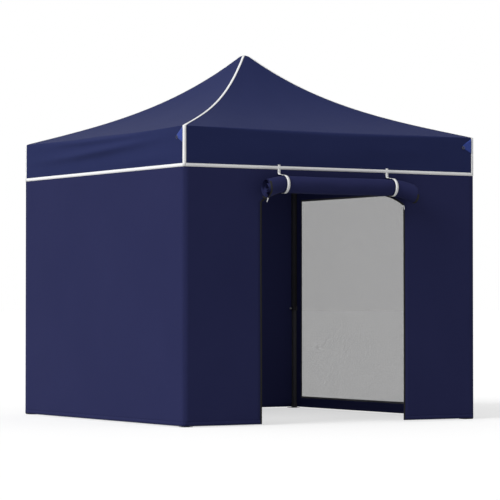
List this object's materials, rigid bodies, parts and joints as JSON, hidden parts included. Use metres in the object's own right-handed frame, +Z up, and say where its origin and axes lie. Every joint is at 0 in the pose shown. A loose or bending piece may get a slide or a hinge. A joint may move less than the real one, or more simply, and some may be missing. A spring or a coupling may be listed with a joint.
{
  "type": "pop up gazebo",
  "caption": "Square pop-up gazebo: folding scissor frame on telescoping legs, peaked navy canopy with valance, walls with a mesh window and a rolled-up door.",
  "frame": {"origin": "on the ground, under the mast and the canopy's peak, midway between the four legs", "axes": "+Z up; -Y towards the front, which holds the doorway and the rolled door; +X towards the mesh wall, on the right of a person who looks at the front"},
  "size_m": [3, 3.1635, 3.315],
  "materials": {
    "frame_steel": "black powder coat on thin rectangular steel tube",
    "leg_steel": "black powder coat on square steel tube",
    "bracket_plastic": "black moulded nylon",
    "lock_pin": "grey moulded pull knob with a steel pin",
    "roof_cloth": "navy coated polyester, plain weave",
    "wall_cloth": "navy coated polyester, plain weave",
    "window_mesh": "open knitted insect mesh in a navy border",
    "white_tape": "white woven binding tape and webbing",
    "corner_patch": "royal blue reinforcing patch",
    "eyelet": "dark eyelet ring",
    "zip_tape": "black zip tape with moulded teeth",
    "zip_puller": "nickel plated zip slider"
  },
  "bodies": {
    "root": {"upper_hub": "bracket_plastic", "mast": "frame_steel", "canopy": "roof_cloth", "front_wall": "wall_cloth", "rolled_door": "wall_cloth", "plain_walls": "wall_cloth", "mesh_wall": "window_mesh"},
    "lower_hub": {"lower_hub": "bracket_plastic"},
    "front_side_bar_1": {"front_side_bar_1": "frame_steel"},
    "front_side_bar_2": {"front_side_bar_2": "frame_steel"},
    "front_side_bar_3": {"front_side_bar_3": "frame_steel"},
    "front_side_bar_4": {"front_side_bar_4": "frame_steel"},
    "front_roof_bar_1": {"front_roof_bar_1": "frame_steel"},
    "front_roof_bar_2": {"front_roof_bar_2": "frame_steel"},
    "front_upper_joint": {"front_upper_joint": "bracket_plastic"},
    "front_lower_joint": {"front_lower_joint": "bracket_plastic"},
    "outer_leg_front_left": {"outer_leg_front_left": "leg_steel"},
    "inner_leg_front_left": {"inner_leg_front_left": "leg_steel"},
    "slider_front_left": {"slider_front_left": "bracket_plastic"},
    "slider_pin_front_left": {"slider_pin_front_left": "lock_pin"},
    "leg_pin_front_left": {"leg_pin_front_left": "lock_pin"},
    "right_side_bar_1": {"right_side_bar_1": "frame_steel"},
    "right_side_bar_2": {"right_side_bar_2": "frame_steel"},
    "right_side_bar_3": {"right_side_bar_3": "frame_steel"},
    "right_side_bar_4": {"right_side_bar_4": "frame_steel"},
    "right_roof_bar_1": {"right_roof_bar_1": "frame_steel"},
    "right_roof_bar_2": {"right_roof_bar_2": "frame_steel"},
    "right_upper_joint": {"right_upper_joint": "bracket_plastic"},
    "right_lower_joint": {"right_lower_joint": "bracket_plastic"},
    "outer_leg_front_right": {"outer_leg_front_right": "leg_steel"},
    "inner_leg_front_right": {"inner_leg_front_right": "leg_steel"},
    "slider_front_right": {"slider_front_right": "bracket_plastic"},
    "slider_pin_front_right": {"slider_pin_front_right": "lock_pin"},
    "leg_pin_front_right": {"leg_pin_front_right": "lock_pin"},
    "back_side_bar_1": {"back_side_bar_1": "frame_steel"},
    "back_side_bar_2": {"back_side_bar_2": "frame_steel"},
    "back_side_bar_3": {"back_side_bar_3": "frame_steel"},
    "back_side_bar_4": {"back_side_bar_4": "frame_steel"},
    "back_roof_bar_1": {"back_roof_bar_1": "frame_steel"},
    "back_roof_bar_2": {"back_roof_bar_2": "frame_steel"},
    "back_upper_joint": {"back_upper_joint": "bracket_plastic"},
    "back_lower_joint": {"back_lower_joint": "bracket_plastic"},
    "outer_leg_back_right": {"outer_leg_back_right": "leg_steel"},
    "inner_leg_back_right": {"inner_leg_back_right": "leg_steel"},
    "slider_back_right": {"slider_back_right": "bracket_plastic"},
    "slider_pin_back_right": {"slider_pin_back_right": "lock_pin"},
    "leg_pin_back_right": {"leg_pin_back_right": "lock_pin"},
    "left_side_bar_1": {"left_side_bar_1": "frame_steel"},
    "left_side_bar_2": {"left_side_bar_2": "frame_steel"},
    "left_side_bar_3": {"left_side_bar_3": "frame_steel"},
    "left_side_bar_4": {"left_side_bar_4": "frame_steel"},
    "left_roof_bar_1": {"left_roof_bar_1": "frame_steel"},
    "left_roof_bar_2": {"left_roof_bar_2": "frame_steel"},
    "left_upper_joint": {"left_upper_joint": "bracket_plastic"},
    "left_lower_joint": {"left_lower_joint": "bracket_plastic"},
    "outer_leg_back_left": {"outer_leg_back_left": "leg_steel"},
    "inner_leg_back_left": {"inner_leg_back_left": "leg_steel"},
    "slider_back_left": {"slider_back_left": "bracket_plastic"},
    "slider_pin_back_left": {"slider_pin_back_left": "lock_pin"},
    "leg_pin_back_left": {"leg_pin_back_left": "lock_pin"}
  },
  "joints": [
    {"name": "frame_fold", "type": "hinge", "parent": "root", "child": "front_roof_bar_2", "pos_m": [0, -0.038, 2.495], "axis": [1, 0, 0], "range_deg": [0, 75]},
    {"name": "front_roof_bar_1_turn", "type": "hinge", "parent": "front_roof_bar_2", "child": "front_roof_bar_1", "pos_m": [0, -0.7386, 2.3525], "axis": [1, 0, 0], "range_deg": [-150.5, 0.5]},
    {"name": "front_upper_joint_turn", "type": "hinge", "parent": "front_roof_bar_1", "child": "front_upper_joint", "pos_m": [0, -1.4392, 2.495], "axis": [1, 0, 0], "range_deg": [-0.5, 75.5]},
    {"name": "front_lower_joint_turn", "type": "hinge", "parent": "front_roof_bar_2", "child": "front_lower_joint", "pos_m": [0, -1.4392, 2.21], "axis": [1, 0, 0], "range_deg": [-75.5, 0.5]},
    {"name": "lower_hub_turn", "type": "hinge", "parent": "front_roof_bar_1", "child": "lower_hub", "pos_m": [0, -0.038, 2.21], "axis": [1, 0, 0], "range_deg": [-0.5, 75.5]},
    {"name": "front_side_bar_2_turn", "type": "hinge", "parent": "front_upper_joint", "child": "front_side_bar_2", "pos_m": [-0.026, -1.4732, 2.495], "axis": [0, -1, 0], "range_deg": [-0.5, 75.5]},
    {"name": "front_side_bar_1_turn", "type": "hinge", "parent": "front_side_bar_2", "child": "front_side_bar_1", "pos_m": [-0.7266, -1.4732, 2.3525], "axis": [0, -1, 0], "range_deg": [-150.5, 0.5]},
    {"name": "front_side_bar_3_turn", "type": "hinge", "parent": "front_upper_joint", "child": "front_side_bar_3", "pos_m": [0.026, -1.4732, 2.495], "axis": [0, 1, 0], "range_deg": [-0.5, 75.5]},
    {"name": "front_side_bar_4_turn", "type": "hinge", "parent": "front_side_bar_3", "child": "front_side_bar_4", "pos_m": [0.7266, -1.4732, 2.3525], "axis": [0, 1, 0], "range_deg": [-150.5, 0.5]},
    {"name": "outer_leg_front_left_turn", "type": "hinge", "parent": "front_side_bar_1", "child": "outer_leg_front_left", "pos_m": [-1.4272, -1.4732, 2.495], "axis": [0, -1, 0], "range_deg": [-0.5, 75.5]},
    {"name": "slider_front_left_turn", "type": "hinge", "parent": "front_side_bar_2", "child": "slider_front_left", "pos_m": [-1.4272, -1.4732, 2.21], "axis": [0, -1, 0], "range_deg": [-75.5, 0.5]},
    {"name": "leg_extend_front_left", "type": "slide", "parent": "outer_leg_front_left", "child": "inner_leg_front_left", "axis": [0, 0, 1], "range_m": [0, 0.9]},
    {"name": "slider_pin_front_left_pull", "type": "slide", "parent": "slider_front_left", "child": "slider_pin_front_left", "axis": [1, 0, 0], "range_m": [0, 0.008], "stiffness_N_per_m": 1500, "springref_m": -0.004},
    {"name": "leg_pin_front_left_pull", "type": "slide", "parent": "outer_leg_front_left", "child": "leg_pin_front_left", "axis": [1, 0, 0], "range_m": [0, 0.008], "stiffness_N_per_m": 1500, "springref_m": -0.004},
    {"name": "right_roof_bar_2_turn", "type": "hinge", "parent": "root", "child": "right_roof_bar_2", "pos_m": [0.038, 0, 2.495], "axis": [0, 1, 0], "range_deg": [-0.5, 75.5]},
    {"name": "right_roof_bar_1_turn", "type": "hinge", "parent": "right_roof_bar_2", "child": "right_roof_bar_1", "pos_m": [0.7386, 0, 2.3525], "axis": [0, 1, 0], "range_deg": [-150.5, 0.5]},
    {"name": "right_upper_joint_turn", "type": "hinge", "parent": "right_roof_bar_1", "child": "right_upper_joint", "pos_m": [1.4392, 0, 2.495], "axis": [0, 1, 0], "range_deg": [-0.5, 75.5]},
    {"name": "right_lower_joint_turn", "type": "hinge", "parent": "right_roof_bar_2", "child": "right_lower_joint", "pos_m": [1.4392, 0, 2.21], "axis": [0, 1, 0], "range_deg": [-75.5, 0.5]},
    {"name": "right_side_bar_2_turn", "type": "hinge", "parent": "right_upper_joint", "child": "right_side_bar_2", "pos_m": [1.4732, -0.026, 2.495], "axis": [1, 0, 0], "range_deg": [-0.5, 75.5]},
    {"name": "right_side_bar_1_turn", "type": "hinge", "parent": "right_side_bar_2", "child": "right_side_bar_1", "pos_m": [1.4732, -0.7266, 2.3525], "axis": [1, 0, 0], "range_deg": [-150.5, 0.5]},
    {"name": "right_side_bar_3_turn", "type": "hinge", "parent": "right_upper_joint", "child": "right_side_bar_3", "pos_m": [1.4732, 0.026, 2.495], "axis": [-1, 0, 0], "range_deg": [-0.5, 75.5]},
    {"name": "right_side_bar_4_turn", "type": "hinge", "parent": "right_side_bar_3", "child": "right_side_bar_4", "pos_m": [1.4732, 0.7266, 2.3525], "axis": [-1, 0, 0], "range_deg": [-150.5, 0.5]},
    {"name": "outer_leg_front_right_turn", "type": "hinge", "parent": "right_side_bar_1", "child": "outer_leg_front_right", "pos_m": [1.4732, -1.4272, 2.495], "axis": [1, 0, 0], "range_deg": [-0.5, 75.5]},
    {"name": "slider_front_right_turn", "type": "hinge", "parent": "right_side_bar_2", "child": "slider_front_right", "pos_m": [1.4732, -1.4272, 2.21], "axis": [1, 0, 0], "range_deg": [-75.5, 0.5]},
    {"name": "leg_extend_front_right", "type": "slide", "parent": "outer_leg_front_right", "child": "inner_leg_front_right", "axis": [0, 0, 1], "range_m": [0, 0.9]},
    {"name": "slider_pin_front_right_pull", "type": "slide", "parent": "slider_front_right", "child": "slider_pin_front_right", "axis": [0, 1, 0], "range_m": [0, 0.008], "stiffness_N_per_m": 1500, "springref_m": -0.004},
    {"name": "leg_pin_front_right_pull", "type": "slide", "parent": "outer_leg_front_right", "child": "leg_pin_front_right", "axis": [0, 1, 0], "range_m": [0, 0.008], "stiffness_N_per_m": 1500, "springref_m": -0.004},
    {"name": "back_roof_bar_2_turn", "type": "hinge", "parent": "root", "child": "back_roof_bar_2", "pos_m": [0, 0.038, 2.495], "axis": [-1, 0, 0], "range_deg": [-0.5, 75.5]},
    {"name": "back_roof_bar_1_turn", "type": "hinge", "parent": "back_roof_bar_2", "child": "back_roof_bar_1", "pos_m": [0, 0.7386, 2.3525], "axis": [-1, 0, 0], "range_deg": [-150.5, 0.5]},
    {"name": "back_upper_joint_turn", "type": "hinge", "parent": "back_roof_bar_1", "child": "back_upper_joint", "pos_m": [0, 1.4392, 2.495], "axis": [-1, 0, 0], "range_deg": [-0.5, 75.5]},
    {"name": "back_lower_joint_turn", "type": "hinge", "parent": "back_roof_bar_2", "child": "back_lower_joint", "pos_m": [0, 1.4392, 2.21], "axis": [-1, 0, 0], "range_deg": [-75.5, 0.5]},
    {"name": "back_side_bar_2_turn", "type": "hinge", "parent": "back_upper_joint", "child": "back_side_bar_2", "pos_m": [0.026, 1.4732, 2.495], "axis": [0, 1, 0], "range_deg": [-0.5, 75.5]},
    {"name": "back_side_bar_1_turn", "type": "hinge", "parent": "back_side_bar_2", "child": "back_side_bar_1", "pos_m": [0.7266, 1.4732, 2.3525], "axis": [0, 1, 0], "range_deg": [-150.5, 0.5]},
    {"name": "back_side_bar_3_turn", "type": "hinge", "parent": "back_upper_joint", "child": "back_side_bar_3", "pos_m": [-0.026, 1.4732, 2.495], "axis": [0, -1, 0], "range_deg": [-0.5, 75.5]},
    {"name": "back_side_bar_4_turn", "type": "hinge", "parent": "back_side_bar_3", "child": "back_side_bar_4", "pos_m": [-0.7266, 1.4732, 2.3525], "axis": [0, -1, 0], "range_deg": [-150.5, 0.5]},
    {"name": "outer_leg_back_right_turn", "type": "hinge", "parent": "back_side_bar_1", "child": "outer_leg_back_right", "pos_m": [1.4272, 1.4732, 2.495], "axis": [0, 1, 0], "range_deg": [-0.5, 75.5]},
    {"name": "slider_back_right_turn", "type": "hinge", "parent": "back_side_bar_2", "child": "slider_back_right", "pos_m": [1.4272, 1.4732, 2.21], "axis": [0, 1, 0], "range_deg": [-75.5, 0.5]},
    {"name": "leg_extend_back_right", "type": "slide", "parent": "outer_leg_back_right", "child": "inner_leg_back_right", "axis": [0, 0, 1], "range_m": [0, 0.9]},
    {"name": "slider_pin_back_right_pull", "type": "slide", "parent": "slider_back_right", "child": "slider_pin_back_right", "axis": [-1, 0, 0], "range_m": [0, 0.008], "stiffness_N_per_m": 1500, "springref_m": -0.004},
    {"name": "leg_pin_back_right_pull", "type": "slide", "parent": "outer_leg_back_right", "child": "leg_pin_back_right", "axis": [-1, 0, 0], "range_m": [0, 0.008], "stiffness_N_per_m": 1500, "springref_m": -0.004},
    {"name": "left_roof_bar_2_turn", "type": "hinge", "parent": "root", "child": "left_roof_bar_2", "pos_m": [-0.038, 0, 2.495], "axis": [0, -1, 0], "range_deg": [-0.5, 75.5]},
    {"name": "left_roof_bar_1_turn", "type": "hinge", "parent": "left_roof_bar_2", "child": "left_roof_bar_1", "pos_m": [-0.7386, 0, 2.3525], "axis": [0, -1, 0], "range_deg": [-150.5, 0.5]},
    {"name": "left_upper_joint_turn", "type": "hinge", "parent": "left_roof_bar_1", "child": "left_upper_joint", "pos_m": [-1.4392, 0, 2.495], "axis": [0, -1, 0], "range_deg": [-0.5, 75.5]},
    {"name": "left_lower_joint_turn", "type": "hinge", "parent": "left_roof_bar_2", "child": "left_lower_joint", "pos_m": [-1.4392, 0, 2.21], "axis": [0, -1, 0], "range_deg": [-75.5, 0.5]},
    {"name": "left_side_bar_2_turn", "type": "hinge", "parent": "left_upper_joint", "child": "left_side_bar_2", "pos_m": [-1.4732, 0.026, 2.495], "axis": [-1, 0, 0], "range_deg": [-0.5, 75.5]},
    {"name": "left_side_bar_1_turn", "type": "hinge", "parent": "left_side_bar_2", "child": "left_side_bar_1", "pos_m": [-1.4732, 0.7266, 2.3525], "axis": [-1, 0, 0], "range_deg": [-150.5, 0.5]},
    {"name": "left_side_bar_3_turn", "type": "hinge", "parent": "left_upper_joint", "child": "left_side_bar_3", "pos_m": [-1.4732, -0.026, 2.495], "axis": [1, 0, 0], "range_deg": [-0.5, 75.5]},
    {"name": "left_side_bar_4_turn", "type": "hinge", "parent": "left_side_bar_3", "child": "left_side_bar_4", "pos_m": [-1.4732, -0.7266, 2.3525], "axis": [1, 0, 0], "range_deg": [-150.5, 0.5]},
    {"name": "outer_leg_back_left_turn", "type": "hinge", "parent": "left_side_bar_1", "child": "outer_leg_back_left", "pos_m": [-1.4732, 1.4272, 2.495], "axis": [-1, 0, 0], "range_deg": [-0.5, 75.5]},
    {"name": "slider_back_left_turn", "type": "hinge", "parent": "left_side_bar_2", "child": "slider_back_left", "pos_m": [-1.4732, 1.4272, 2.21], "axis": [-1, 0, 0], "range_deg": [-75.5, 0.5]},
    {"name": "leg_extend_back_left", "type": "slide", "parent": "outer_leg_back_left", "child": "inner_leg_back_left", "axis": [0, 0, 1], "range_m": [0, 0.9]},
    {"name": "slider_pin_back_left_pull", "type": "slide", "parent": "slider_back_left", "child": "slider_pin_back_left", "axis": [0, -1, 0], "range_m": [0, 0.008], "stiffness_N_per_m": 1500, "springref_m": -0.004},
    {"name": "leg_pin_back_left_pull", "type": "slide", "parent": "outer_leg_back_left", "child": "leg_pin_back_left", "axis": [0, -1, 0], "range_m": [0, 0.008], "stiffness_N_per_m": 1500, "springref_m": -0.004}
  ],
  "couplings": [
    {"joint": "front_roof_bar_1_turn", "follows": "frame_fold", "ratio": -2},
    {"joint": "front_upper_joint_turn", "follows": "frame_fold", "ratio": 1},
    {"joint": "front_lower_joint_turn", "follows": "frame_fold", "ratio": -1},
    {"joint": "lower_hub_turn", "follows": "frame_fold", "ratio": 1},
    {"joint": "front_side_bar_2_turn", "follows": "frame_fold", "ratio": 1},
    {"joint": "front_side_bar_1_turn", "follows": "frame_fold", "ratio": -2},
    {"joint": "front_side_bar_3_turn", "follows": "frame_fold", "ratio": 1},
    {"joint": "front_side_bar_4_turn", "follows": "frame_fold", "ratio": -2},
    {"joint": "outer_leg_front_left_turn", "follows": "frame_fold", "ratio": 1},
    {"joint": "slider_front_left_turn", "follows": "frame_fold", "ratio": -1},
    {"joint": "right_roof_bar_2_turn", "follows": "frame_fold", "ratio": 1},
    {"joint": "right_roof_bar_1_turn", "follows": "frame_fold", "ratio": -2},
    {"joint": "right_upper_joint_turn", "follows": "frame_fold", "ratio": 1},
    {"joint": "right_lower_joint_turn", "follows": "frame_fold", "ratio": -1},
    {"joint": "right_side_bar_2_turn", "follows": "frame_fold", "ratio": 1},
    {"joint": "right_side_bar_1_turn", "follows": "frame_fold", "ratio": -2},
    {"joint": "right_side_bar_3_turn", "follows": "frame_fold", "ratio": 1},
    {"joint": "right_side_bar_4_turn", "follows": "frame_fold", "ratio": -2},
    {"joint": "outer_leg_front_right_turn", "follows": "frame_fold", "ratio": 1},
    {"joint": "slider_front_right_turn", "follows": "frame_fold", "ratio": -1},
    {"joint": "back_roof_bar_2_turn", "follows": "frame_fold", "ratio": 1},
    {"joint": "back_roof_bar_1_turn", "follows": "frame_fold", "ratio": -2},
    {"joint": "back_upper_joint_turn", "follows": "frame_fold", "ratio": 1},
    {"joint": "back_lower_joint_turn", "follows": "frame_fold", "ratio": -1},
    {"joint": "back_side_bar_2_turn", "follows": "frame_fold", "ratio": 1},
    {"joint": "back_side_bar_1_turn", "follows": "frame_fold", "ratio": -2},
    {"joint": "back_side_bar_3_turn", "follows": "frame_fold", "ratio": 1},
    {"joint": "back_side_bar_4_turn", "follows": "frame_fold", "ratio": -2},
    {"joint": "outer_leg_back_right_turn", "follows": "frame_fold", "ratio": 1},
    {"joint": "slider_back_right_turn", "follows": "frame_fold", "ratio": -1},
    {"joint": "left_roof_bar_2_turn", "follows": "frame_fold", "ratio": 1},
    {"joint": "left_roof_bar_1_turn", "follows": "frame_fold", "ratio": -2},
    {"joint": "left_upper_joint_turn", "follows": "frame_fold", "ratio": 1},
    {"joint": "left_lower_joint_turn", "follows": "frame_fold", "ratio": -1},
    {"joint": "left_side_bar_2_turn", "follows": "frame_fold", "ratio": 1},
    {"joint": "left_side_bar_1_turn", "follows": "frame_fold", "ratio": -2},
    {"joint": "left_side_bar_3_turn", "follows": "frame_fold", "ratio": 1},
    {"joint": "left_side_bar_4_turn", "follows": "frame_fold", "ratio": -2},
    {"joint": "outer_leg_back_left_turn", "follows": "frame_fold", "ratio": 1},
    {"joint": "slider_back_left_turn", "follows": "frame_fold", "ratio": -1}
  ]
}
